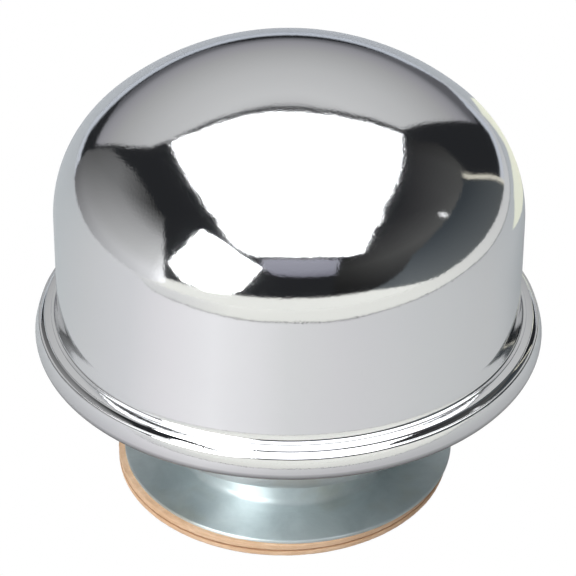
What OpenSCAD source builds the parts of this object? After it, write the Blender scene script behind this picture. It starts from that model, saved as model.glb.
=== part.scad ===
// Crankcase breather filter: chromed open-air cap with a knitted wire filter and a twist-in base.
// The axis is Z. The origin is the centre of the flat lower edge that the cap stands on.
// Every sheet-metal piece is a turned outline that follows its outer face, with one thickness inside it.

/* [Cover] */
// Diameter of the cover's wall at its foot
cover_d = 75.8; // [70:0.1:84]
// Height of the crown above the crease of the rim
cover_rise = 45.2; // [42:0.2:52]
// Lean of the cover's wall towards the axis, in degrees
cover_draft = 1.4; // [0.5:0.1:3]
// Radius of the domed crown
crown_r = 46.2; // [44:0.1:60]
// Radius of the shoulder between crown and wall
shoulder_r = 19.8; // [14:0.1:22]
// Thickness of the cover's sheet
cover_t = 0.8; // [0.6:0.05:1]

/* [Rim] */
// Bend between the wall and the ledge at its foot
foot_bend = 0.6; // [0.4:0.05:0.9]
// Width of the flat ledge round the wall
ledge_w = 0.45; // [0.3:0.05:0.8]
// Height of the ledge's side above the land
ledge_step = 0.17; // [0.1:0.01:0.3]
// Width of the sloping land outside the ledge
land_w = 1.17; // [1:0.01:1.6]
// Fall of the land from the ledge's side to the fold
land_fall = 0.93; // [0.7:0.01:1.1]
// Width of the hollow fold between the land and the bead
fold_w = 0.16; // [0.1:0.01:0.2]
// Width of the rounded bead between the fold and the crease
bead_w = 0.87; // [0.7:0.01:1.2]
// Fall of the bead from the fold to the crease
bead_fall = 0.37; // [0.3:0.01:0.45]
// Width of the rounded side outside the crease
side_w = 0.55; // [0.4:0.05:0.8]
// Radius of the rounded side
side_r = 2; // [1.6:0.1:2.4]
// Depth of the rim below the crease
rim_drop = 4.3; // [4:0.1:6]
// Radius of the curl at the rim's lower edge
curl_r = 2.1; // [1.8:0.1:2.4]

/* [Pan] */
// Width of the pan's floor outside the neck
floor_w = 8.5; // [7:0.1:9.5]
// Height of the boss
boss_h = 17; // [14:0.2:22]
// Radius of the boss's lower corner
boss_corner = 3.5; // [2:0.1:5]
// Bend between the boss and the pan's flange
pan_bend = 0.8; // [0.5:0.1:1.5]
// Thickness of the pan's sheet
pan_t = 0.7; // [0.5:0.05:0.9]
// Number of vent holes round the pan's flange
vent_count = 20; // [12:1:24]
// Diameter of a vent hole
vent_d = 5; // [3:0.25:6]
// Length of the collar drawn down round the neck
collar_h = 2.6; // [2:0.1:4]
// Bend between the pan's floor and its collar
collar_bend = 0.5; // [0.3:0.1:0.9]

/* [Neck and disc] */
// Outside diameter of the neck
neck_d = 37.4; // [34:0.2:40]
// Height of the neck between the disc and the pan
neck_h = 8.3; // [6:0.1:14]
// Width of the disc outside the neck
disc_w = 9.4; // [8:0.1:12]
// Thickness of the sheet of neck and disc
neck_t = 0.7; // [0.5:0.05:0.9]
// Bend between the neck and the disc
disc_bend = 0.9; // [0.5:0.1:1.5]
// Width of the neck's rolled lip on the pan
lip_w = 3; // [2.4:0.1:4]

/* [Gasket] */
// How far the gasket reaches beyond the disc
gasket_lip = 0.2; // [0:0.05:0.5]
// Gap between the gasket's hole and the lock's sleeve
gasket_ease = 2.15; // [1:0.05:2.5]
// Thickness of the gasket
gasket_t = 2.3; // [1.6:0.1:3.5]
// How far the gasket sits to the -X side of the metal
gasket_shift = 0.85; // [0:0.05:1]
// Thickness of the gasket's lower ply
lower_ply_t = 1; // [0.6:0.1:1.2]
// Depth of the split round the gasket's edge
split_depth = 0.4; // [0.2:0.05:0.8]
// Height of the split
split_h = 0.2; // [0.1:0.05:0.3]

/* [Twist lock] */
// How far the lock reaches below the gasket
lock_drop = 8; // [7:0.1:9]
// How far the lock's sleeve reaches up inside the neck
lock_grip = 7; // [4:0.5:9]
// Thickness of the lock's sheet
lock_t = 1; // [0.8:0.05:1.2]
// Bend between the sleeve and the lip that the cap stands on
lock_bend = 1.6; // [1.4:0.1:2]
// Width of the lip that the cap stands on
foot_w = 3.45; // [3:0.05:4]
// How far an ear stands out from the sleeve
ear_reach = 3.6; // [2.5:0.1:4]
// Angle that an ear covers, in degrees
ear_angle = 58; // [40:1:64]
// Thickness of an ear
ear_t = 1.2; // [1:0.1:1.5]
// Height of the gap between an ear and the gasket
ear_gap = 3; // [2.5:0.1:3.5]
// Slope of an ear along its length, in degrees
ear_slope = 4; // [0:0.5:5]

/* [Filter] */
// How far the perforated cage's wall stands outside the neck
cage_ease = 1.8; // [1.2:0.1:2.3]
// Height of the cage
cage_h = 38; // [32:0.5:42]
// Thickness of the cage's sheet
cage_t = 0.5; // [0.4:0.05:0.6]
// Width of the cage's foot outside its wall
cage_foot_w = 3; // [2:0.1:4]
// Diameter of a hole in the cage
cage_hole_d = 4; // [3:0.1:5]
// Number of holes in one row of the cage
cage_holes = 16; // [12:1:20]
// Number of rows of holes in the cage
cage_rows = 4; // [3:1:5]
// Thickness of the baffle's sheet
baffle_t = 0.6; // [0.5:0.05:0.8]
// Depth of the baffle's skirt round the cage
baffle_skirt = 5; // [3:0.5:6]
// Bend between the baffle's top and its skirt
baffle_bend = 1.5; // [1:0.1:2.5]

/* [Fits] */
// Gap between pressed pieces that touch
seat = 0.05; // [0.02:0.01:0.08]
// Gap round the wire pad
pad_gap = 0.3; // [0.2:0.05:0.4]
// Gap between the pan's edge and the inside of the rim
edge_gap = 0.3; // [0.2:0.05:0.5]

/* [Hidden] */
$fn = 96;
chrome_colour = [0.84, 0.86, 0.88];
zinc_colour = [0.6, 0.66, 0.67];
fibre_colour = [0.82, 0.64, 0.45];
wire_colour = [0.45, 0.46, 0.47];
// Farthest that a short straight piece of an outline strays from its arc
chord_error = 0.02;
// How far a cutting shape runs past what it cuts
cut = 1;

// Heights, from the lower edge upwards
disc_z = lock_drop + gasket_t;
disc_top = disc_z + neck_t;
floor_z = disc_top + neck_h;
flange_z = floor_z + boss_h;
crease_z = flange_z + pan_t + cover_t;
fold_fall = fold_w / 2;
land_z = crease_z + bead_fall + fold_fall + land_fall;
ledge_z = land_z + ledge_step;
crown_top = crease_z + cover_rise;

// Radii, from the axis outwards
neck_r = neck_d / 2;
lock_r = neck_r - neck_t - seat;
collar_r = neck_r + seat + pan_t;
boss_r = neck_r + floor_w;
wall_r = cover_d / 2;
ledge_r = wall_r + foot_bend + ledge_w;
fold_r = ledge_r + land_w;
crease_r = fold_r + fold_w + bead_w;
rim_r = crease_r + side_w;
curl_lip_r = rim_r - 2 * curl_r;
flange_r = rim_r - cover_t - edge_gap;
vent_ring_r = (boss_r + pan_bend + curl_lip_r) / 2;
disc_r = neck_r + disc_w;
gasket_r = disc_r + gasket_lip;
gasket_hole_r = lock_r + gasket_ease;
cage_r = neck_r + cage_ease;
cage_z = floor_z + pan_t + seat + neck_t + seat;
cage_top = cage_z + cage_h;

// Centre of the shoulder arc, which touches both the leaning wall and the crown
crown_z = crown_top - crown_r;
lean = tan(cover_draft);
between = crown_r - shoulder_r;
shoulder_line_r = wall_r - shoulder_r / cos(cover_draft) - lean * (crown_z - ledge_z);
shoulder_up = (shoulder_line_r * lean + sqrt(pow(shoulder_line_r * lean, 2)
    - (1 + lean * lean) * (pow(shoulder_line_r, 2) - between * between))) / (1 + lean * lean);
shoulder_x = shoulder_line_r - lean * shoulder_up;
shoulder_z = crown_z + shoulder_up;
blend_angle = atan2(shoulder_up, shoulder_x);

// A path is a list of arcs [x, z, radius, from, to] along the outer face of a sheet. An arc whose angle falls
// bulges outwards and one whose angle rises is hollow. A radius of 0 is a corner, and its angle is the way
// that the face looks.
function arc_steps(r, sweep) =
    r <= chord_error || sweep == 0 ? 0 : max(2, ceil(abs(sweep) / (2 * acos(1 - chord_error / r))));
function arc_points(e, depth) = let (n = arc_steps(e[2], e[4] - e[3]), s = e[4] > e[3] ? 1 : -1)
    [for (i = [0:n]) let (a = n == 0 ? e[3] : e[3] + (e[4] - e[3]) * i / n)
        [e[0] + (e[2] + s * depth) * cos(a), e[1] + (e[2] + s * depth) * sin(a)]];
function face(path, depth = 0) = [for (e = path) for (p = arc_points(e, depth)) p];
function backwards(list) = [for (i = [len(list) - 1:-1:0]) list[i]];
// Arc of radius r from point p down to point q, which bulges for side -1 and is hollow for side 1
function arc_between(p, q, r, side = -1) =
    let (m = (p + q) / 2, h = norm(q - p) / 2, a = atan2(q[0] - p[0], p[1] - q[1]))
    let (c = m + side * sqrt(r * r - h * h) * [cos(a), sin(a)])
    [c[0], c[1], r, atan2(p[1] - c[1], p[0] - c[0]), atan2(q[1] - c[1], q[0] - c[0])];
module turned_sheet(path, t) {
    rotate_extrude() polygon(concat(face(path), backwards(face(path, t))));
}

// Cover
dome_path = [
    [0, crown_z, crown_r, 90, blend_angle],
    [shoulder_x, shoulder_z, shoulder_r, blend_angle, cover_draft],
];
foot_x = wall_r - lean * foot_bend + foot_bend / cos(cover_draft);
foot_path = [[foot_x, ledge_z + foot_bend, foot_bend, 180 + cover_draft, 270]];
ledge_round = ledge_step / 2;
ledge_path = [[ledge_r - ledge_round, ledge_z - ledge_round, ledge_round, 90, 0]];
land_r = 3 * land_w;
side_angle = acos(1 - side_w / side_r);
// The bead turns the sheet from the fold to the rounded side, which it meets without a step
bead_turn = 90 - atan2(bead_fall, bead_w) - side_angle;
bead_r = norm([bead_w, bead_fall]) / (2 * sin(bead_turn));
fold_bend = 1.3 * fold_w;
fold_top = [fold_r, land_z - land_fall];
fold_foot = fold_top + [fold_w, -fold_fall];
rim_path = [
    arc_between([ledge_r, land_z], fold_top, land_r),
    arc_between(fold_top, fold_foot, fold_bend, 1),
    arc_between(fold_foot, [crease_r, crease_z], bead_r),
    [rim_r - side_r, crease_z - side_r * sin(side_angle), side_r, side_angle, 0],
    [rim_r - curl_r, crease_z - rim_drop + curl_r, curl_r, 0, -180],
    [curl_lip_r, flange_z - seat, 0, -180, -180],
];
module dome_cover() {
    outside = face(concat(dome_path, foot_path, ledge_path, rim_path));
    inside = face(concat(dome_path, foot_path, rim_path), cover_t);
    color(chrome_colour) rotate_extrude() polygon(concat(outside, backwards(inside)));
}

// Pan
pan_path = [
    [flange_r, flange_z, 0, -90, -90],
    [boss_r + pan_bend, flange_z - pan_bend, pan_bend, 90, 180],
    [boss_r - boss_corner, floor_z + boss_corner, boss_corner, 0, -90],
    [collar_r + collar_bend, floor_z - collar_bend, collar_bend, 90, 180],
    [collar_r, floor_z - collar_h, 0, 0, 0],
];
module bottom_pan() {
    color(zinc_colour) difference() {
        turned_sheet(pan_path, pan_t);
        for (i = [0:vent_count - 1]) rotate([0, 0, (i + 0.5) * 360 / vent_count])
            translate([vent_ring_r, 0, flange_z - cut]) cylinder(d = vent_d, h = pan_t + 2 * cut, $fn = 32);
    }
}

// Neck and disc, in one sheet, with the neck's top rolled out over the pan
flange_path = [
    [neck_r + lip_w, floor_z + pan_t + seat, 0, -90, -90],
    [collar_r + collar_bend, floor_z - collar_bend, collar_bend + pan_t + seat, 90, 180],
    [neck_r + disc_bend, disc_top + disc_bend, disc_bend, 180, 270],
    [disc_r, disc_top, 0, 90, 90],
];
module base_flange() {
    color(zinc_colour) turned_sheet(flange_path, neck_t);
}

// Gasket, with the split between its plies as a narrow groove round the edge
module gasket() {
    split_z = lock_drop + lower_ply_t;
    color(fibre_colour) translate([-gasket_shift, 0, 0]) difference() {
        translate([0, 0, lock_drop]) cylinder(r = gasket_r, h = gasket_t);
        translate([0, 0, lock_drop - cut]) cylinder(r = gasket_hole_r, h = gasket_t + 2 * cut);
        translate([0, 0, split_z]) difference() {
            cylinder(r = gasket_r + cut, h = split_h);
            translate([0, 0, -cut]) cylinder(r = gasket_r - split_depth, h = split_h + 2 * cut);
        }
    }
}

// Twist lock
lock_path = [
    [lock_r, disc_z + lock_grip, 0, 0, 0],
    [lock_r - lock_bend, lock_bend, lock_bend, 0, -90],
    [lock_r - foot_w, 0, 0, -90, -90],
];
module ear() {
    ear_r = lock_r + ear_reach;
    inner_r = lock_r - lock_t / 2;
    intersection() {
        translate([0, 0, lock_drop - ear_gap - ear_t / 2]) rotate([ear_slope, 0, 0])
            translate([0, -ear_r, -ear_t / 2]) cube([ear_r + cut, 2 * ear_r, ear_t]);
        rotate([0, 0, -ear_angle / 2]) rotate_extrude(angle = ear_angle)
            translate([inner_r, 0]) square([ear_r - inner_r, lock_drop]);
    }
}
module twist_lock() {
    color(zinc_colour) {
        turned_sheet(lock_path, lock_t);
        for (turn = [0, 180]) rotate([0, 0, turn]) ear();
    }
}

// Cage over the neck's mouth
cage_bend = 2 * cage_t;
cage_path = [
    [cage_r, cage_top, 0, 0, 0],
    [cage_r + cage_bend, cage_z + cage_t + cage_bend, cage_bend, 180, 270],
    [cage_r + cage_foot_w, cage_z + cage_t, 0, 90, 90],
];
module mesh_cage() {
    first_z = cage_z + cage_t + cage_bend;
    pitch = (cage_top - baffle_skirt - first_z) / cage_rows;
    color(zinc_colour) difference() {
        turned_sheet(cage_path, cage_t);
        for (row = [0:cage_rows - 1]) for (i = [0:cage_holes - 1])
            rotate([0, 0, (i + (row % 2) / 2) * 360 / cage_holes])
                translate([cage_r - cage_t - cut, 0, first_z + (row + 0.5) * pitch]) rotate([0, 90, 0])
                    cylinder(d = cage_hole_d, h = cage_t + 2 * cut, $fn = 24);
    }
}

// Baffle, a cap that closes the cage's top
baffle_r = cage_r + seat + baffle_t;
baffle_top = cage_top + baffle_bend;
baffle_path = [
    [0, baffle_top, 0, 90, 90],
    [baffle_r - baffle_bend, baffle_top - baffle_bend, baffle_bend, 90, 0],
    [baffle_r, cage_top - baffle_skirt, 0, 0, 0],
];
module oil_baffle() {
    color(zinc_colour) turned_sheet(baffle_path, baffle_t);
}

// Wire pad, which fills the cover and the pan's boss round the cage
module filter_mesh() {
    pan_top = flange_z + pan_t + pad_gap;
    pad_r = wall_r - cover_t - pad_gap;
    boss_inside_r = boss_r - pan_t - pad_gap;
    foot_top = cage_z + cage_t + pad_gap;
    outside = face(dome_path, cover_t + pad_gap);
    color(wire_colour) rotate_extrude() polygon(concat(outside, [
        [pad_r, ledge_z],
        [pad_r, pan_top],
        [boss_inside_r, pan_top],
        [boss_inside_r, floor_z + boss_corner],
        [cage_r + cage_foot_w, foot_top],
        [cage_r + cage_bend, foot_top],
        [cage_r + pad_gap, foot_top + cage_bend],
        [cage_r + pad_gap, cage_top - baffle_skirt - pad_gap],
        [baffle_r + pad_gap, cage_top - baffle_skirt - pad_gap],
        [baffle_r + pad_gap, baffle_top + pad_gap],
        [0, baffle_top + pad_gap],
    ]));
}

dome_cover();
bottom_pan();
base_flange();
gasket();
twist_lock();
mesh_cage();
oil_baffle();
filter_mesh();
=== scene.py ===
"""Looks of the crankcase breather filter: smooth turned sheet metal, fibre gasket, knitted wire and a small studio."""
import math
import random

import bmesh
import bpy
from mathutils import Matrix, Vector, noise


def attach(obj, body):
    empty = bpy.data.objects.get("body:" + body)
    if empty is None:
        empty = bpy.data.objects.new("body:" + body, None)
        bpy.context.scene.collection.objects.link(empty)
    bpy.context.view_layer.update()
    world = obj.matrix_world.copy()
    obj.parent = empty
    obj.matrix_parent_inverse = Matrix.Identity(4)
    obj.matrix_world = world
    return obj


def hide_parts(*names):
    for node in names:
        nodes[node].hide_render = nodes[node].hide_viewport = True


MM = 0.001
SOFT = 2.3  # level of the softbox
LIGHT = 1.48  # how brightly the cards light the table
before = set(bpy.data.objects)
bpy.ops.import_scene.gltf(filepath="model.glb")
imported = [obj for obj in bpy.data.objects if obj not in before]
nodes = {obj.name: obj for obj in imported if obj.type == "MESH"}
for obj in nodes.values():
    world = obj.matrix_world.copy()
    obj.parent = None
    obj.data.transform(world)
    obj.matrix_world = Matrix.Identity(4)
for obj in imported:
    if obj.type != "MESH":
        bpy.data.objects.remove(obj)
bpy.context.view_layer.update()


# Sizes in millimetres, as in part.scad, with the rim drawn a little finer
seat = 0.05
disc_z, disc_top, floor_z, flange_z, crease_z, land_z, ledge_z = 10.3, 11.0, 19.3, 36.3, 37.77, 38.93, 39.08
neck_r, lock_r, collar_r, boss_r, wall_r, ledge_r = 18.7, 17.95, 19.45, 27.2, 37.9, 38.95
crease_r, rim_r, flange_r, vent_ring_r = 41.12, 41.7, 40.45, 32.75
cover_t, pan_t, neck_t, lock_t = 0.8, 0.7, 0.7, 1.0
crown_z, crown_r, shoulder_r, draft = 36.8, 46.2, 19.8, 1.4
gasket_r, gasket_hole_r, gasket_z, gasket_t, gasket_shift = 28.3, 20.1, 8.0, 2.3, 0.85


# Profiles: lists of arcs (x, z, radius, from, to), as in part.scad, but with finer steps
def arc(e, depth=0.0, step=3.0):
    x, z, r, a0, a1 = e
    side = 1 if a1 > a0 else -1
    n = 0 if a0 == a1 else max(2, math.ceil(abs(a1 - a0) / step))
    out = []
    for i in range(n + 1):
        a = math.radians(a0 + (a1 - a0) * (i / n if n else 0))
        out.append((x + (r + side * depth) * math.cos(a), z + (r + side * depth) * math.sin(a)))
    return out


def face(path, depth=0.0, step=3.0):
    return [p for e in path for p in arc(e, depth, step)]


def sheet(path, t, step=3.0):
    return face(path, 0.0, step) + face(path, t, step)[::-1]


def arc_between(p, q, r, side=-1):
    mx, mz = (p[0] + q[0]) / 2, (p[1] + q[1]) / 2
    h = math.hypot(q[0] - p[0], q[1] - p[1]) / 2
    a = math.atan2(q[0] - p[0], p[1] - q[1])
    s = side * math.sqrt(r * r - h * h)
    cx, cz = mx + s * math.cos(a), mz + s * math.sin(a)
    return (cx, cz, r, math.degrees(math.atan2(p[1] - cz, p[0] - cx)), math.degrees(math.atan2(q[1] - cz, q[0] - cx)))


def chain(x, z, turns):
    """Arcs that run on from a point, and where they end; turns are (tilt before, tilt after, length)."""
    out = []
    for t0, t1, length in turns:
        r = length / math.radians(abs(t1 - t0))
        a0, a1 = (90 - t0, 90 - t1) if t1 > t0 else (270 - t0, 270 - t1)
        cx, cz = x - r * math.cos(math.radians(a0)), z - r * math.sin(math.radians(a0))
        out.append((cx, cz, r, a0, a1))
        x, z = cx + r * math.cos(math.radians(a1)), cz + r * math.sin(math.radians(a1))
    return out, (x, z)


def mesh_object(name, bm, sharp=32.0, doubles=1e-7):
    bmesh.ops.remove_doubles(bm, verts=bm.verts, dist=doubles)
    bmesh.ops.recalc_face_normals(bm, faces=bm.faces)
    me = bpy.data.meshes.new(name)
    bm.to_mesh(me)
    bm.free()
    me.shade_smooth()
    me.set_sharp_from_angle(angle=math.radians(sharp))
    ob = bpy.data.objects.new(name, me)
    bpy.context.scene.collection.objects.link(ob)
    return ob


def turned(name, outline, steps=360, shape=None, sharp=32.0):
    """Spins a closed outline of (r, z) points in mm about Z; shape(x, y, z) may move each vertex."""
    bm = bmesh.new()
    vs = [bm.verts.new((x * MM, 0, z * MM)) for x, z in outline]
    es = [bm.edges.new((a, b)) for a, b in zip(vs, vs[1:] + vs[:1]) if (a.co - b.co).length > 1e-9]
    bmesh.ops.spin(bm, geom=vs + es, cent=(0, 0, 0), axis=(0, 0, 1), angle=2 * math.pi, steps=steps, use_merge=True)
    if shape:
        for v in bm.verts:
            v.co = Vector(shape(*(v.co / MM))) * MM
    return mesh_object(name, bm, sharp)


# Cover
lean = math.tan(math.radians(draft))
line_r = wall_r - shoulder_r / math.cos(math.radians(draft)) - lean * (crown_z - ledge_z)
between = crown_r - shoulder_r
up = (line_r * lean + math.sqrt((line_r * lean) ** 2 - (1 + lean ** 2) * (line_r ** 2 - between ** 2))) / (1 + lean ** 2)
shoulder_x, shoulder_z = line_r - lean * up, crown_z + up
blend = math.degrees(math.atan2(up, shoulder_x))
dome_path = [(0, crown_z, crown_r, 90, blend), (shoulder_x, shoulder_z, shoulder_r, blend, draft)]
foot_turns = [(90 - draft, 69, 2.2), (69, 52, 0.22), (52, 0, 0.24)]
foot_high = -chain(0, 0, foot_turns)[1][1]
foot_path = chain(wall_r - lean * foot_high, ledge_z + foot_high, foot_turns)[0]
ledge_round = (ledge_z - land_z) / 2
ledge_path = [(ledge_r - ledge_round, ledge_z - ledge_round, ledge_round, 90, 0)]
land_edge = (39.98, 38.75)
land_path = [arc_between((ledge_r, land_z), land_edge, 10.5)]
bead_path, crease = chain(*land_edge, [(20, 54, 0.07), (54, 60, 0.17), (60, 35, 0.06), (35, 47, 0.62), (47, -6, 0.13), (-6, 52, 0.30),
                                       (52, 70, 0.19)])
curl_x, curl_z, curl_r, side_angle = rim_r - 2.1, 35.6, 2.1, 10.2
side_foot = (curl_x + curl_r * math.cos(math.radians(side_angle)), curl_z + curl_r * math.sin(math.radians(side_angle)))
side_path = [
    arc_between(crease, side_foot, 12.0),
    (curl_x, curl_z, curl_r, side_angle, -180),
    (curl_x - curl_r, flange_z - seat, 0, -180, -180),
]


def cover_shape(x, y, z):
    """Slight hand of the press and the curling roll: the crease and the curl wander by a few hundredths."""
    r = math.hypot(x, y)
    if r < 38.3 or z > 39.07:
        return x, y, z
    a = math.atan2(y, x)
    wob = 0.035 * noise.noise(Vector((math.cos(a) * 3, math.sin(a) * 3, 0.4)))
    ring = max(0.0, 1 - abs(z - crease_z) / 0.5) * max(0.0, 1 - abs(r - crease_r) / 0.6)
    fine = 0.02 * noise.noise(Vector((math.cos(a) * 22, math.sin(a) * 22, 5.2))) * ring
    k = (r + wob + fine) / r
    return x * k, y * k, z + 0.6 * wob + fine


outside = (face(dome_path, 0, 1.5) + face(foot_path, 0, 6) + face(ledge_path, 0, 15) + face(land_path, 0, 1) + face(bead_path, 0, 3)
           + face(side_path, 0, 6))
inside = face(dome_path + foot_path + land_path + side_path, cover_t, 12)
cover = turned("cover_skin", outside + inside[::-1], 384, cover_shape)

# Pan
pan_path = [
    (flange_r, flange_z, 0, -90, -90),
    (boss_r + 0.8, flange_z - 0.8, 0.8, 90, 180),
    (boss_r - 3.5, floor_z + 3.5, 3.5, 0, -90),
    (collar_r + 0.5, floor_z - 0.5, 0.5, 90, 180),
    (collar_r, floor_z - 2.6, 0, 0, 0),
]
pan = turned("pan_pressing", sheet(pan_path, pan_t, 4), 320)


def cut_holes(ob, places, r, depth, around):
    """Cuts round holes; places are (position, direction) in mm."""
    bm = bmesh.new()
    for p, d in places:
        m = Matrix.Translation(Vector(p) * MM) @ Vector(d).to_track_quat("Z", "Y").to_matrix().to_4x4()
        bmesh.ops.create_cone(bm, cap_ends=True, segments=around, radius1=r * MM, radius2=r * MM, depth=depth * MM, matrix=m)
    tool = mesh_object(ob.name + "_tool", bm)
    mod = ob.modifiers.new("holes", "BOOLEAN")
    mod.operation, mod.solver, mod.object = "DIFFERENCE", "EXACT", tool
    bpy.context.view_layer.update()
    me = bpy.data.meshes.new_from_object(ob.evaluated_get(bpy.context.evaluated_depsgraph_get()))
    ob.modifiers.clear()
    ob.data = me
    me.shade_smooth()
    me.set_sharp_from_angle(angle=math.radians(32))
    bpy.data.objects.remove(tool)


def ring_places(r, z, count, offset, radial=False):
    out = []
    for i in range(count):
        a = 2 * math.pi * (i + offset) / count
        c, s = math.cos(a), math.sin(a)
        out.append(((r * c, r * s, z), (c, s, 0) if radial else (0, 0, 1)))
    return out


cut_holes(pan, ring_places(vent_ring_r, flange_z + pan_t / 2, 20, 0.5), 2.5, 4, 40)

# Neck and disc
flange_path = [
    (neck_r + 3, floor_z + pan_t + seat, 0, -90, -90),
    (collar_r + 0.5, floor_z - 0.5, 0.5 + pan_t + seat, 90, 180),
    (neck_r + 0.9, disc_top + 0.9, 0.9, 180, 270),
    (28.1 - 0.25, disc_top - 0.25, 0.25, 90, 0),
    (28.1 - 0.25, disc_z + 0.25, 0.25, 0, -90),
]
flange_out = face(flange_path[:4], 0, 5) + arc(flange_path[4], 0, 15)
flange_in = face(flange_path[:3], neck_t, 5)


def disc_shape(x, y, z):
    r = math.hypot(x, y)
    if r < 21 or z > 12:
        return x, y, z
    dish = 0.05 * noise.noise(Vector((x / 9, y / 9, 2.0))) * min(1.0, (r - 21) / 3)
    return x, y, z + dish - 0.02


flange = turned("neck_and_disc", flange_out + flange_in[::-1], 360, disc_shape)

# Twist lock: sleeve and two ears
lock_path = [
    (lock_r, disc_z + 7, 0, 0, 0),
    (lock_r - 1.6, 1.6, 1.6, 0, -90),
    (lock_r - 3.45, 0, 0, -90, -90),
]
lock = turned("lock_sleeve", sheet(lock_path, lock_t, 8), 240)


def ear(name, turn):
    bm = bmesh.new()
    n, half = 24, 29.0
    rows = []
    for i in range(n + 1):
        a = math.radians(-half + 2 * half * i / n)
        c, s = math.cos(a), math.sin(a)
        lift = math.tan(math.radians(4))
        row = []
        for r in (lock_r - 0.35, lock_r + 3.6):
            for top in (0, 1):
                z = 4.4 + (top - 1) * 1.2 / math.cos(math.radians(4)) + 0.6 + lift * r * s
                row.append(bm.verts.new((r * c * MM, r * s * MM, z * MM)))
        rows.append(row)
    for p, q in zip(rows, rows[1:]):
        for i, j in ((0, 1), (1, 3), (3, 2), (2, 0)):
            bm.faces.new((p[i], p[j], q[j], q[i]))
    for row in (rows[0], rows[-1]):
        bm.faces.new((row[0], row[1], row[3], row[2]))
    bmesh.ops.recalc_face_normals(bm, faces=bm.faces)
    edges = [e for e in bm.edges if len(e.link_faces) == 2 and e.calc_face_angle(0) > 1.0]
    bmesh.ops.bevel(bm, geom=edges, offset=0.25 * MM, offset_type="OFFSET", segments=3, profile=0.5, affect="EDGES",
                    material=-1, clamp_overlap=True)
    bmesh.ops.rotate(bm, verts=bm.verts, cent=(0, 0, 0), matrix=Matrix.Rotation(turn, 3, "Z"))
    return mesh_object(name, bm)


ears = [ear("lock_ear_right", 0.0), ear("lock_ear_left", math.pi)]

# Gasket: two plies, split round most of the edge
split_z = gasket_z + 1.0


def split_at(a):
    """How far the split has opened at the angle a: almost shut on the far left."""
    left = math.exp(-((((a - math.pi + math.pi) % (2 * math.pi)) - math.pi) / 0.35) ** 2)
    n = 0.5 + 0.5 * noise.noise(Vector((math.cos(a) * 6, math.sin(a) * 6, 1.0)))
    return (0.45 + 0.75 * n) * (1 - 0.85 * left)


def gasket_shape(x, y, z):
    a, r = math.atan2(y, x), math.hypot(x, y)
    wave = 0.10 * noise.noise(Vector((math.cos(a) * 4, math.sin(a) * 4, 3.0)))
    wave += 0.03 * noise.noise(Vector((math.cos(a) * 30, math.sin(a) * 30, 7.0)))
    if r > gasket_r - 0.8:
        rough = 0.05 * noise.noise(Vector((x * 1.6, y * 1.6, z * 2.2)))
        mid = max(0.0, 1 - abs(z - split_z - 0.05) / 0.55)
        z += wave * mid
        if r < gasket_r - 0.15 and abs(z - split_z - wave) < 0.3:
            r2 = gasket_r - 0.45 * split_at(a) - 0.02
        else:
            r2 = r + rough
        x, y = x * r2 / r, y * r2 / r
    return x - gasket_shift, y, z


g = gasket_r
edge = [(g - 0.18, gasket_z), (g - 0.05, gasket_z + 0.05), (g, gasket_z + 0.2), (g, gasket_z + 0.4), (g - 0.01, gasket_z + 0.6),
        (g, gasket_z + 0.8), (g - 0.03, split_z - 0.08), (g - 0.1, split_z - 0.02), (g - 0.4, split_z + 0.04),
        (g - 0.4, split_z + 0.1), (g - 0.1, split_z + 0.15), (g - 0.03, split_z + 0.22), (g, split_z + 0.4),
        (g - 0.01, split_z + 0.6), (g, split_z + 0.8), (g, split_z + 1.0), (g - 0.04, split_z + 1.2), (g - 0.14, gasket_z + gasket_t)]
gasket = turned("fibre_ring", [(gasket_hole_r, gasket_z), (24, gasket_z)] + edge + [(24, gasket_z + gasket_t),
                (gasket_hole_r, gasket_z + gasket_t)], 540, gasket_shape, 60)

# Wire pad: a core painted near-black as the shaded depth of the knit, with loops of knitted wire over the faces that
# show through the holes
core_path = face(dome_path, cover_t + 1.2, 6)
core_outline = core_path + [(36.0, ledge_z), (36.0, 38.6), (25.0, 38.6), (25.0, 23.5), (23.2, 22.4), (22.0, 22.4), (22.0, 54.2),
                            (22.6, 54.2), (22.6, 61.6), (0, 61.6)]
core = turned("pad_core", core_outline, 96)
rnd = random.Random(7)


def wires(name, strands, wire_r, sides=4):
    bm = bmesh.new()
    for pts in strands:
        last, n = None, len(pts)
        for i, p in enumerate(pts):
            t = (pts[(i + 1) % n] - pts[i - 1]).normalized()
            u = t.cross(Vector((0.3, 0.2, 0.93))).normalized()
            w = t.cross(u)
            ring = [bm.verts.new((p + wire_r * (math.cos(k * 2 * math.pi / sides) * u + math.sin(k * 2 * math.pi / sides) * w)) * MM)
                    for k in range(sides)]
            if last:
                for k in range(sides):
                    bm.faces.new((last[k], last[(k + 1) % sides], ring[(k + 1) % sides], ring[k]))
            last = ring
    me = bpy.data.meshes.new(name)
    bm.to_mesh(me)
    bm.free()
    me.shade_smooth()
    ob = bpy.data.objects.new(name, me)
    bpy.context.scene.collection.objects.link(ob)
    return ob


def knit_flat(r, z, stitches, loop):
    """One course of knit laid flat in a ring under the pad."""
    pts, ph = [], rnd.random() * 6.28
    for i in range(stitches * 14):
        t = 2 * math.pi * i / 14
        a = 2 * math.pi * i / (stitches * 14) + ph
        rr = r + loop * math.cos(t) + 0.5 * noise.noise(Vector((math.cos(a) * 9, math.sin(a) * 9, r)))
        aa = a + (0.55 * loop / r) * math.sin(2 * t)
        zz = z + 0.35 * math.sin(t * 0.5 + ph) + 0.5 * noise.noise(Vector((math.cos(a) * 7, math.sin(a) * 7, r + 20)))
        pts.append(Vector((rr * math.cos(aa), rr * math.sin(aa), zz)))
    return pts


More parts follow.
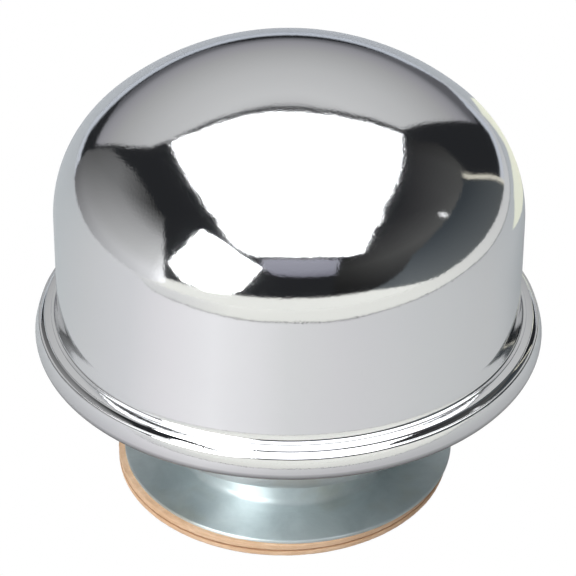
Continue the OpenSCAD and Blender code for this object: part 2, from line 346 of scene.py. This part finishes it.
def knit_tube(r, z, stitches, loop):
    pts, ph = [], rnd.random() * 6.28
    for i in range(stitches * 14):
        t = 2 * math.pi * i / 14
        a = 2 * math.pi * i / (stitches * 14) + ph
        rr = r + 0.25 + 0.25 * math.sin(t * 0.5) + 0.25 * noise.noise(Vector((math.cos(a) * 7, math.sin(a) * 7, z)))
        zz = z + loop * math.cos(t) + 0.4 * noise.noise(Vector((math.cos(a) * 8, math.sin(a) * 8, z + 9)))
        aa = a + (0.55 * loop / r) * math.sin(2 * t)
        pts.append(Vector((rr * math.cos(aa), rr * math.sin(aa), zz)))
    return pts


flat = [knit_flat(27.6 + 1.15 * k, 38.25 + 0.25 * (k % 3), 44, 1.25) for k in range(8)]
tube = [knit_tube(21.1, 24.2 + 1.9 * k, 30, 1.9) for k in range(15)]
pad_wires = wires("pad_wires", flat + tube, 0.13)

pieces = {
    cover: ("dome_cover", "chrome"), pan: ("bottom_pan", "zinc_pan"), flange: ("base_flange", "zinc_flange"),
    gasket: ("gasket", "fibre"), lock: ("twist_lock", "zinc_lock"), ears[0]: ("twist_lock", "zinc_lock"),
    ears[1]: ("twist_lock", "zinc_lock"), core: ("filter_mesh", "wire"), pad_wires: ("filter_mesh", "wire"),
}
for ob, (node, slot) in pieces.items():
    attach(ob, "root")
    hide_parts(node)


# Materials
class Tree:
    """Short way to write a node tree."""

    def __init__(self, tree):
        self.t = tree

    def add(self, kind, inputs=None, **props):
        n = self.t.nodes.new(kind)
        for k, v in props.items():
            setattr(n, k, v)
        for k, v in (inputs or {}).items():
            if isinstance(v, bpy.types.NodeSocket):
                self.t.links.new(v, n.inputs[k])
            else:
                n.inputs[k].default_value = v
        return n

    def math(self, op, a, b=0.0, c=0.0, clamp=False):
        return self.add("ShaderNodeMath", {0: a, 1: b, 2: c}, operation=op, use_clamp=clamp).outputs[0]

    def noise(self, vec, scale, detail=3.0, rough=0.5, distort=0.0):
        return self.add("ShaderNodeTexNoise", {"Vector": vec, "Scale": scale, "Detail": detail, "Roughness": rough,
                                               "Distortion": distort}).outputs["Fac"]

    def remap(self, val, a, b, c, d, smooth=False):
        return self.add("ShaderNodeMapRange", {0: val, 1: a, 2: b, 3: c, 4: d},
                        interpolation_type="SMOOTHSTEP" if smooth else "LINEAR").outputs[0]

    def mix(self, fac, a, b, mode="MIX"):
        return self.add("ShaderNodeMix", {0: fac, 6: a, 7: b}, data_type="RGBA", blend_type=mode).outputs[2]

    def scaled(self, vec, s):
        return self.add("ShaderNodeVectorMath", {0: vec, 1: s}, operation="MULTIPLY").outputs[0]

    def bump(self, height, strength, distance, normal=None):
        ins = {"Height": height, "Strength": strength, "Distance": distance}
        if normal is not None:
            ins["Normal"] = normal
        return self.add("ShaderNodeBump", ins).outputs[0]


def srgb(*c):
    return tuple((x / 255 / 12.92 if x <= 10 else ((x / 255 + 0.055) / 1.055) ** 2.4) for x in c) + (1.0,)


def material(name):
    m = bpy.data.materials.new(name)
    m.use_nodes = True
    m.node_tree.nodes.clear()
    t = Tree(m.node_tree)
    b = t.add("ShaderNodeBsdfPrincipled")
    out = t.add("ShaderNodeOutputMaterial")
    m.node_tree.links.new(b.outputs[0], out.inputs[0])
    coord = t.add("ShaderNodeTexCoord").outputs["Object"]
    return m, t, b, coord


def polar(t, coord):
    """Angle and radius about Z, for marks that run round the part."""
    sep = t.add("ShaderNodeSeparateXYZ", {0: coord})
    x, y, z = sep.outputs
    r = t.math("SQRT", t.math("ADD", t.math("MULTIPLY", x, x), t.math("MULTIPLY", y, y)))
    return t.math("ARCTAN2", y, x), r, z


def put(t, b, name, value):
    t.t.links.new(value, b.inputs[name])


def scratches(t, coord, scale, turn, stretch, sharp):
    """Fine straight marks: stretched noise, turned by an angle."""
    v = t.add("ShaderNodeMapping", {0: coord, 2: (0.3, 0.2, turn), 3: (scale, scale * stretch, scale)}).outputs[0]
    n = t.noise(v, 1.0, 2.0, 0.55, 0.15)
    return t.remap(n, sharp, sharp + 0.05, 0.0, 1.0)


def chrome():
    m, t, b, c = material("chrome_plate")
    b.inputs["Metallic"].default_value = 1.0
    haze = t.noise(c, 60, 4)
    a, r, z = polar(t, c)
    # Painted shade: the chrome's colour is darker towards the underside of the curled rim.
    curl = t.math("MULTIPLY", t.remap(z, 0.0358, 0.0376, 1, 0), t.remap(r, 0.0405, 0.041, 0, 1))
    plate = t.mix(haze, (0.81, 0.82, 0.84, 1), (0.84, 0.85, 0.86, 1))
    put(t, b, "Base Color", t.mix(curl, plate, (0.66, 0.665, 0.68, 1)))
    corner = t.math("MULTIPLY", t.remap(z, 0.0405, 0.0425, 1, 0, True), t.remap(r, 0.0388, 0.0391, 1, 0))
    put(t, b, "Roughness", t.math("ADD", t.remap(haze, 0.3, 0.7, 0.055, 0.075), t.math("MULTIPLY", corner, 0.03)))
    n = t.bump(t.noise(c, 34, 1, 0.4), 0.009, 0.002)
    put(t, b, "Normal", t.bump(t.noise(c, 2400, 2, 0.6), 0.06, 0.0001, n))
    return m


def zinc(name, low, high, rough=(0.26, 0.42), spin=0.4, mark=0.5, metal=1.0, tint=(0.86, 0.80, 0.70)):
    m, t, b, c = material(name)
    b.inputs["Metallic"].default_value = metal
    b.inputs["Anisotropic"].default_value = spin
    tangent = t.add("ShaderNodeTangent", direction_type="RADIAL", axis="Z").outputs[0]
    put(t, b, "Tangent", tangent)
    b.inputs["Anisotropic Rotation"].default_value = 0.25
    a, r, z = polar(t, c)
    blot = t.noise(c, 130, 5, 0.62, 0.4)
    fine = t.noise(c, 700, 3, 0.6)
    stain = t.remap(t.noise(c, 70, 3, 0.5), 0.56, 0.74, 0.0, 0.55, True)
    col = t.mix(t.remap(blot, 0.3, 0.7, 0, 1), low, high)
    col = t.mix(t.math("MULTIPLY", fine, 0.25), col, high)
    put(t, b, "Base Color", t.mix(stain, col, tint + (1,), "MULTIPLY"))
    ring = t.add("ShaderNodeTexNoise", {"Vector": t.add("ShaderNodeCombineXYZ", {0: t.math("MULTIPLY", r, 5200.0), 1: t.math("MULTIPLY", a, 2.2),
                                        2: t.math("MULTIPLY", z, 5200.0)}).outputs[0], "Scale": 1.0, "Detail": 3.0}).outputs["Fac"]
    marks = t.math("MAXIMUM", scratches(t, c, 150, 0.85, 26, 0.665), scratches(t, c, 170, 2.5, 30, 0.69))
    ro = t.remap(blot, 0.3, 0.7, rough[0], rough[1])
    put(t, b, "Roughness", t.math("ADD", ro, t.math("MULTIPLY", marks, 0.12)))
    n = t.bump(ring, 0.25, 0.00002)
    n = t.bump(blot, 0.12, 0.0003, n)
    put(t, b, "Normal", t.bump(marks, -mark, 0.00003, n))
    return m


def fibre():
    m, t, b, c = material("pressed_fibre")
    a, r, z = polar(t, c)
    layer = t.noise(t.scaled(c, (1, 1, 9)), 420, 4, 0.6, 0.3)
    blot = t.noise(c, 160, 4, 0.6)
    fine = t.noise(c, 2600, 3, 0.7)
    col = t.mix(t.remap(layer, 0.3, 0.7, 0, 1), srgb(204, 169, 137), srgb(228, 197, 167))
    col = t.mix(t.remap(blot, 0.42, 0.68, 0, 0.5), col, srgb(200, 160, 124))
    col = t.mix(t.remap(fine, 0.6, 0.8, 0, 0.5), col, srgb(246, 226, 202))
    seam = t.remap(t.math("ABSOLUTE", t.math("SUBTRACT", z, (split_z + 0.07) * MM)), 0.00008, 0.0003, 1, 0, True)
    put(t, b, "Base Color", t.mix(t.math("MULTIPLY", seam, 0.7), col, srgb(156, 110, 74)))
    b.inputs["Roughness"].default_value = 0.85
    b.inputs["Specular IOR Level"].default_value = 0.25
    n = t.bump(layer, 0.5, 0.00012)
    put(t, b, "Normal", t.bump(fine, 0.4, 0.00005, n))
    return m


def wire():
    m, t, b, c = material("knitted_wire")
    b.inputs["Metallic"].default_value = 1.0
    n = t.noise(c, 400, 3)
    put(t, b, "Base Color", t.mix(n, (0.30, 0.30, 0.30, 1), (0.52, 0.51, 0.49, 1)))
    put(t, b, "Roughness", t.remap(n, 0.3, 0.7, 0.28, 0.5))
    return m


def pad():
    m, t, b, c = material("pad_shaded_depth")
    b.inputs["Metallic"].default_value = 1.0
    v = t.add("ShaderNodeTexVoronoi", {"Vector": c, "Scale": 900.0}, feature="DISTANCE_TO_EDGE").outputs["Distance"]
    line = t.remap(v, 0.0, 0.09, 1.0, 0.0, True)
    # Painted shade: near-black between the lighter wire lines stands in for the shaded depth of the knit.
    put(t, b, "Base Color", t.mix(line, (0.015, 0.015, 0.015, 1), (0.26, 0.26, 0.25, 1)))
    b.inputs["Roughness"].default_value = 0.5
    put(t, b, "Normal", t.bump(line, 0.9, 0.0004))
    return m


def dress(ob, m):
    if ob.data.materials:
        for i in range(len(ob.data.materials)):
            ob.data.materials[i] = m
    else:
        ob.data.materials.append(m)


chrome_m = chrome()
pan_m = zinc("zinc_pan_plate", (0.58, 0.65, 0.665, 1), (0.74, 0.81, 0.825, 1), (0.34, 0.46), 0.8)
flange_m = zinc("zinc_flange_plate", (0.60, 0.68, 0.695, 1), (0.80, 0.88, 0.895, 1), (0.42, 0.54), 0.85, metal=0.85)
lock_m = zinc("zinc_lock_plate", (0.42, 0.46, 0.46, 1), (0.58, 0.61, 0.61, 1))
inside_m = zinc("galvanised_sheet", (0.36, 0.38, 0.38, 1), (0.52, 0.54, 0.54, 1), (0.35, 0.5), 0.0)
dress(cover, chrome_m)
dress(pan, pan_m)
dress(flange, flange_m)
dress(gasket, fibre())
for ob in [lock] + ears:
    dress(ob, lock_m)
dress(pad_wires, wire())
dress(core, pad())
for name in ("mesh_cage", "oil_baffle"):
    dress(nodes[name], inside_m)


# Studio: cards by azimuth (0 behind the part, 90 at +X) and elevation, on a wide sphere round the part
MIDDLE = Vector((0, 0, 0.05))


def way(az, el):
    a, e = math.radians(az), math.radians(el)
    return Vector((math.sin(a) * math.cos(e), math.cos(a) * math.cos(e), math.sin(e)))


def grey(c):
    return c if isinstance(c, tuple) else (c, c, c, 1)


def lit(*c):
    """Colour that a card needs so that chrome shows the colour c (0 to 255)."""
    return tuple(x / 0.82 for x in srgb(*(c if len(c) == 3 else c * 3))[:3]) + (1.0,)


def ramp(t, value, stops):
    """Colours along a value; stops are (value, colour)."""
    lo, hi = stops[0][0], stops[-1][0]
    n = t.add("ShaderNodeValToRGB", {0: t.remap(value, lo, hi, 0, 1)})
    el = n.color_ramp.elements
    while len(el) < len(stops):
        el.new(0.5)
    for e, (v, c) in zip(el, stops):
        e.position = (v - lo) / (hi - lo)
        e.color = grey(c)
    return n.outputs[0]


def stage_mesh(name, bm):
    me = bpy.data.meshes.new(name)
    bm.to_mesh(me)
    bm.free()
    ob = bpy.data.objects.new(name, me)
    bpy.context.scene.collection.objects.link(ob)
    m = bpy.data.materials.new(name)
    m.use_nodes = True
    m.node_tree.nodes.clear()
    me.materials.append(m)
    return ob, Tree(m.node_tree)


def card(name, corners, stops, side=None, reach=6.0, top=False):
    """A glowing card; stops are (elevation, colour); side holds (azimuth, factor) along the card."""
    rim = []
    for (a0, e0), (a1, e1) in zip(corners, corners[1:] + corners[:1]):
        d = ((a1 - a0 + 180) % 360) - 180
        n = max(1, int(max(abs(d), abs(e1 - e0)) / 3))
        rim += [way(a0 + d * i / n, e0 + (e1 - e0) * i / n) for i in range(n)]
    bm = bmesh.new()
    vs = [bm.verts.new(p * reach + MIDDLE) for p in rim]
    if top:
        mid = bm.verts.new((0, 0, reach))
        for p, q in zip(vs, vs[1:] + vs[:1]):
            bm.faces.new((p, q, mid))
    else:
        bmesh.ops.triangulate(bm, faces=[bm.faces.new(vs)])
    ob, t = stage_mesh(name, bm)
    pos = t.add("ShaderNodeVectorMath", {0: t.add("ShaderNodeNewGeometry").outputs["Position"], 1: tuple(MIDDLE)}, operation="SUBTRACT")
    pos = t.add("ShaderNodeVectorMath", {0: pos.outputs[0]}, operation="NORMALIZE").outputs[0]
    x, y, z = t.add("ShaderNodeSeparateXYZ", {0: pos}).outputs
    deg = math.pi / 180
    col = ramp(t, t.math("ARCSINE", z), [(e * deg, c) for e, c in stops])
    if side:
        col = t.mix(1.0, col, ramp(t, t.math("ARCTAN2", x, y), [(a * deg, c) for a, c in side]), "MULTIPLY")
    em = t.add("ShaderNodeEmission", {0: col, 1: 1.0})
    t.t.links.new(em.outputs[0], t.add("ShaderNodeOutputMaterial").inputs[0])
    ob.visible_camera = False
    ob.visible_shadow = False
    return ob


card("softbox_top", [(-54.1, 44.2), (-47.1, 52.2), (-32.6, 58.1), (-17.9, 60.9), (0, 62.5), (16.8, 61.6), (33.4, 56.9), (44.6, 49.5),
                     (49.1, 44.4), (55.1, 47), (71.9, 51.3), (87.4, 53.9), (102.4, 55.4), (122.8, 50.7), (133, 43), (139.3, 37),
                     (146.7, 37.6), (164.2, 41.5), (-176.8, 42.5), (-162, 40.8), (-155.1, 42.2), (-142.7, 48.5), (-133, 54.5),
                     (-122.3, 58.7), (-96.7, 58.2), (-75.1, 53.7), (-60.8, 48)],
     [(35, SOFT), (90, SOFT)], top=True)
card("window_left", [(-122.5, 49.4), (-124.4, 33.5), (-122.2, 16), (-131.3, 7), (-144.5, 5.1), (-152.9, 6.3), (-158, 11),
                     (-165.9, 31.5), (-160, 36), (-145.2, 44.3), (-134, 48)], [(4, 7.0), (50, 7.0)], reach=5.8)
card("panel_back", [(-53, 43.5), (-45, 50), (-31, 55.5), (-17, 58), (0, 59.5), (16, 58.6), (31.5, 54), (42, 47.2), (46.2, 43.1),
                    (42.7, 33.9), (38.8, 21.4), (32.5, 4.8), (31.5, 3), (25.1, -0.6), (19.3, -3.4), (16.3, -1.2), (11.6, 1.9),
                    (5.2, 4), (0, 4.6), (-5.4, 4.6), (-11.6, 1.8), (-18.4, 2), (-25.8, 2.6), (-32.8, 6.3), (-41.2, 9.5),
                    (-43.4, 12.5), (-47.1, 20.3), (-51.9, 29.1), (-55, 37.4)],
     [(-3, lit(84, 84, 88)), (5, lit(88, 88, 92)), (9, lit(132, 132, 136)), (12, lit(142, 141, 145)), (20, lit(158)), (28, lit(170)),
      (36, lit(180)), (52, lit(192)), (57, lit(186)), (60, lit(120))], reach=5.6)
card("panel_left", [(-119.2, 16.3), (-112.6, 29.5), (-105, 37), (-99.1, 42.1), (-85.9, 42.4), (-75.1, 39.1), (-64.9, 34.4),
                    (-55.9, 27), (-48.7, 20.1), (-44, 12), (-41.7, 5.1), (-43.6, -1.9), (-52.5, -5.2), (-61.6, -6), (-83.9, -5.4),
                    (-95.6, -3.8), (-108.1, -4.7), (-115.1, -2.9), (-122.9, -0.3), (-122.5, 2.7)],
     [(-6, lit(190, 190, 192)), (4, lit(197, 197, 198)), (12, lit(182)), (20, lit(173)), (28, lit(160)), (36, lit(112)), (42.5, lit(50))],
     [(-123, 2.2), (-120, 1.7), (-115, 1.2), (-105, 1.0), (-85, 0.74), (-65, 0.45), (-50, 0.25), (-41, 0.15)], 5.6)
card("panel_right", [(52.4, 44.1), (60, 46.5), (75, 50), (90, 52.5), (103, 54), (114, 51.5), (123, 48), (132, 41), (140, 35),
                     (152.7, 36), (157.8, 24.3), (158, 14), (161.5, 7.2), (143.3, 6.2), (136, 8), (125.8, 13.6), (117.7, 20.9), (102, 25.2),
                     (82.6, 26.7), (62.9, 26.9), (57, 25), (51, 32)],
     [(5, lit(40, 40, 42)), (14, lit(58, 58, 58)), (28, lit(78, 78, 77)), (36, lit(66, 66, 66)), (45, lit(50, 50, 51)), (52, lit(34, 35, 37))],
     [(50, 0.35), (60, 0.8), (75, 1.0), (110, 1.0), (130, 0.8), (150, 0.4), (160, 0.3)], 5.6)
card("panel_low_right", [(47.9, -5.6), (57.1, -8.1), (69.4, -7), (86.2, -5.5), (101.1, -5.1), (119.1, -1.3), (143.3, 6.2), (136, 8),
                         (125.8, 13.6), (117.7, 20.9), (102, 25.2), (82.6, 26.7), (62.9, 26.9), (56, 10)],
     [(-8, lit(98, 101, 101)), (4, lit(84, 88, 90)), (24, lit(58, 63, 67))], [(48, 0.7), (80, 0.9), (105, 1.1), (125, 1.3), (143, 1.0)], 5.4)
card("strip_right", [(61.8, 26.6), (58.4, 16.3), (49.1, -4.6), (47.5, -4.5), (56.3, 16.5), (59.6, 25.9)],
     [(-6, lit(200, 196, 184)), (27, lit(200, 196, 180))], reach=5.2)
card("lamp_right", [(87, 27), (86.6, 31), (88, 33), (89.8, 31), (89.6, 27.5)], [(25, 1.0), (35, 1.0)], reach=5.2)
card("panel_front", [(-165.4, 39.4), (-166.3, 31.9), (-173.3, 26.8), (174.6, 25.3), (157.8, 24.3), (152.7, 36.7), (164.2, 39.8),
                     (-176.8, 40.8)],
     [(24, lit(110, 110, 120)), (30, lit(140, 140, 150)), (40, lit(152, 152, 162))], reach=5.4)

# Room: dark above the far edge of the table, pale below it, white to the camera
TABLE = lit(229, 229, 223)
world = bpy.data.worlds.new("studio")
bpy.context.scene.world = world
world.use_nodes = True
world.node_tree.nodes.clear()
t = Tree(world.node_tree)
sep = t.add("ShaderNodeSeparateXYZ", {0: t.add("ShaderNodeTexCoord").outputs["Generated"]})
front = t.math("MULTIPLY", sep.outputs[1], -0.125)
high = t.math("SUBTRACT", sep.outputs[2], t.math("MAXIMUM", front, 0.0))
behind = ramp(t, sep.outputs[1], [(-0.6, TABLE), (0.3, lit(196, 198, 202)), (1.0, lit(176, 181, 190))])
room = t.mix(t.remap(high, -0.012, 0.008, 0, 1, True), behind, lit(34, 35, 37))
is_camera = t.add("ShaderNodeLightPath").outputs["Is Camera Ray"]
bg = t.add("ShaderNodeBackground", {0: t.mix(is_camera, room, (1, 1, 1, 1)), 1: 1.0})
world.node_tree.links.new(bg.outputs[0], t.add("ShaderNodeOutputWorld").inputs[0])


# Table: pale, with a grey sheet on it; white to the camera, and clear from below
def table_piece(name, bm, level, stops, part_shadow=None):
    """A flat piece of the table; stops are (azimuth from the front, colour), and tones that change round the part are
    painted light and shade; the optional (radius, factor) ramp is a painted shadow of the part.
    """
    ob, t = stage_mesh(name, bm)
    ob.location.z = -level * MM
    x, y, z = t.add("ShaderNodeSeparateXYZ", {0: t.add("ShaderNodeTexCoord").outputs["Object"]}).outputs
    col = ramp(t, t.math("ARCTAN2", x, t.math("MULTIPLY", y, -1.0)), [(a * math.pi / 180, c) for a, c in stops])
    # Painted shadow of the part: the piece is darker close to the middle, under the part.
    if part_shadow:
        r = t.math("SQRT", t.math("ADD", t.math("MULTIPLY", x, x), t.math("MULTIPLY", y, y)))
        col = t.mix(1.0, col, ramp(t, r, part_shadow), "MULTIPLY")
    dif = t.add("ShaderNodeBsdfDiffuse", {0: col})
    white = t.add("ShaderNodeEmission", {0: (1, 1, 1, 1), 1: 1.0})
    seen = t.add("ShaderNodeMixShader", {0: t.add("ShaderNodeLightPath").outputs["Is Camera Ray"], 1: dif.outputs[0], 2: white.outputs[0]})
    below = t.add("ShaderNodeNewGeometry").outputs["Backfacing"]
    both = t.add("ShaderNodeMixShader", {0: below, 1: seen.outputs[0], 2: t.add("ShaderNodeBsdfTransparent").outputs[0]})
    t.t.links.new(both.outputs[0], t.add("ShaderNodeOutputMaterial").inputs[0])
    return ob


def flat(points, grow=0.0):
    """A flat polygon with smooth outline points in mm, grown outwards from the middle by grow."""
    bm = bmesh.new()
    vs = []
    for x, y in points:
        d = math.hypot(x, y)
        vs.append(bm.verts.new((x * (1 + grow / d) * MM, y * (1 + grow / d) * MM, 0)))
    f = bm.faces.new(vs)
    bmesh.ops.recalc_face_normals(bm, faces=[f])
    if f.normal.z < 0:
        f.normal_flip()
    bmesh.ops.triangulate(bm, faces=[f])
    return bm


def smooth(points, parts=6):
    """More points along a smooth line through the given ones."""
    out = []
    for i in range(len(points) - 1):
        p0, p1, p2, p3 = (Vector(points[min(max(k, 0), len(points) - 1)]) for k in (i - 1, i, i + 1, i + 2))
        for j in range(parts):
            u = j / parts
            out.append(tuple(0.5 * (2 * p1 + (p2 - p0) * u + (2 * p0 - 5 * p1 + 4 * p2 - p3) * u ** 2 + (3 * p1 - p0 - 3 * p2 + p3) * u ** 3)))
    return out + [points[-1]]


def floor_tone(*c):
    """Paint that the table needs so that chrome shows the colour c under these cards."""
    return tuple(x / LIGHT for x in lit(*c)[:3]) + (1.0,)


bm = bmesh.new()
bmesh.ops.create_circle(bm, cap_ends=True, segments=96, radius=1.1)
# Painted light and shade on the table: lighter at the front, darker towards the sides, darkest and bluish behind.
table_piece("table", bm, 0.3, [(-180, floor_tone(176, 181, 190)), (-90, floor_tone(200, 200, 200)), (-50, floor_tone(210, 210, 209)), (-25, floor_tone(229, 229, 223)),
                               (60, floor_tone(229, 229, 223)), (120, floor_tone(205, 205, 204)), (180, floor_tone(176, 181, 190))])
sheet_edge = smooth([(-966.9, -119), (-737.7, -263.1), (-359.6, -192.8), (-234.6, -222.7), (-154.1, -239), (-69.4, -246.7), (2.5, -257.8),
                     (87.2, -226.8), (166.4, -210.9), (243.5, -157.6), (297.6, -90.1), (314.5, -26.2)])
sheet_back = [(310, 60), (300, 400), (200, 700), (-400, 800), (-900, 400)]
table_piece("sheet_edge", flat(sheet_edge + sheet_back, 14.0), 0.2, [(-180, floor_tone(90)), (180, floor_tone(90))])
# Painted light and shade on the grey sheet: lightest towards the front-left, darker to the right and behind; the last
# ramp paints the part's shadow, darker close to the part.
table_piece("grey_sheet", flat(sheet_edge + sheet_back), 0.1,
            [(-180, floor_tone(172, 176, 182)), (-155, floor_tone(180, 184, 188)), (-130, floor_tone(182, 186, 188)), (-97, floor_tone(196, 197, 198)),
             (-70, floor_tone(207, 207, 209)), (-50, floor_tone(224, 222, 224)), (-30, floor_tone(235, 234, 235)), (-12, floor_tone(225, 224, 225)),
             (0, floor_tone(215)), (20, floor_tone(209, 208, 209)), (60, floor_tone(198, 199, 199)), (95, floor_tone(190, 191, 191)),
             (130, floor_tone(178, 182, 184)), (180, floor_tone(172, 176, 182))],
            [(0.043, 0.45), (0.052, 0.6), (0.067, 0.76), (0.085, 1.0)])
patch = [(49.8, 153.5), (53.5, 141.8), (55.5, 129.5), (56.9, 111.1), (87.4, 107.7), (160.5, 88.8), (209.7, 176.3), (197.4, 215.1),
         (140.7, 224.4), (239.2, 488.7), (106.9, 280.4)]
table_piece("cream_patch", flat(patch), 0.05, [(-180, floor_tone(230, 232, 214)), (180, floor_tone(230, 232, 214))])

# Camera, solved from the outline and the edge circles in the photograph
elev, dist, roll = math.radians(33.911), 0.31972, math.radians(0.338)
target = Vector((0, 0, 0.038))
back = Vector((0, -math.cos(elev), math.sin(elev)))
right = Vector((1, 0, 0))
upward = back.cross(right)
right2 = math.cos(roll) * right + math.sin(roll) * upward
up2 = math.cos(roll) * upward - math.sin(roll) * right
cam_data = bpy.data.cameras.new("camera")
cam = bpy.data.objects.new("camera", cam_data)
bpy.context.scene.collection.objects.link(cam)
rot = Matrix((right2, up2, back)).transposed().to_4x4()
cam.matrix_world = Matrix.Translation(target + dist * back) @ rot
cam_data.sensor_width = 36.0
cam_data.lens = 1938 / 576 * 36.0
cam_data.shift_x = -(288.66 - 288) / 576
cam_data.shift_y = (304.0 - 288) / 576
cam_data.clip_start = 0.01
bpy.context.scene.camera = cam

scene = bpy.context.scene
scene.view_settings.view_transform = "Standard"
scene.view_settings.look = "None"

bpy.context.view_layer.update()
